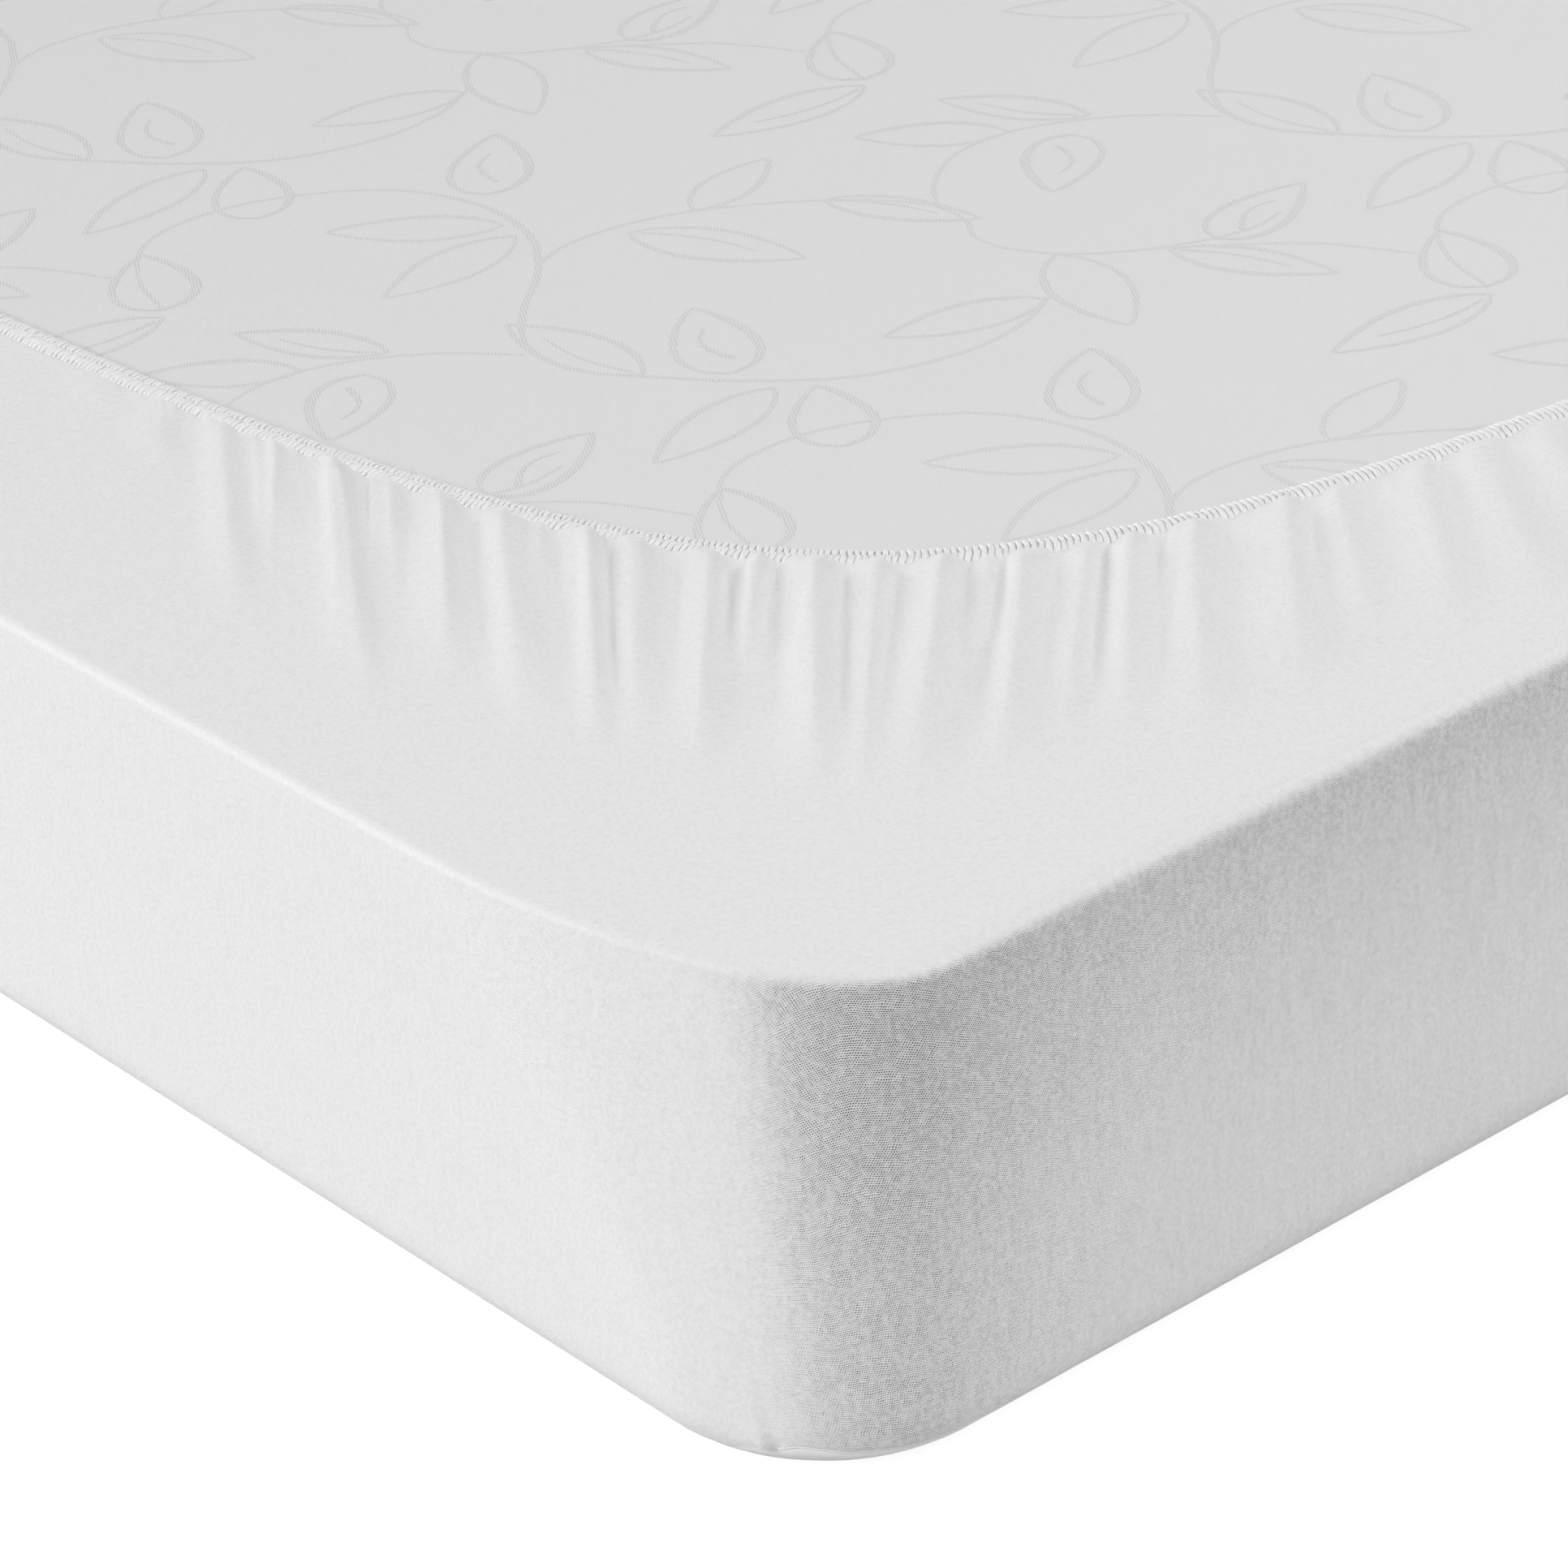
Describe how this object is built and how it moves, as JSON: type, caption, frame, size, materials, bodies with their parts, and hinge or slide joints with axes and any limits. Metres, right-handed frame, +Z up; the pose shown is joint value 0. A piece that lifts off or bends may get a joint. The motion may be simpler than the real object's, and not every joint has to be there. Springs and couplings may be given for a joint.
{
  "type": "mattress protector on a mattress",
  "caption": "Fitted mattress protector with a stretch knit skirt and gathered elastic edge, pulled over a plain mattress that lies upside down.",
  "frame": {"origin": "centre of the footprint, on the surface that the sleeping panel lies on", "axes": "+Z up through the mattress, out of its upturned base side; +X along the mattress"},
  "size_m": [1.9036, 1.3536, 0.2086],
  "materials": {
    "mattress": "woven ticking, tone on tone leaf pattern, matt",
    "sleep_panel": "white brushed knit, matt",
    "skirt": "white stretch jersey, fine open knit, matt",
    "elastic_edge": "white overlock thread over elastic, slight sheen"
  },
  "bodies": {
    "root": {"mattress": "mattress", "sleep_panel": "sleep_panel", "skirt": "skirt", "elastic_edge": "elastic_edge"}
  },
  "joints": []
}
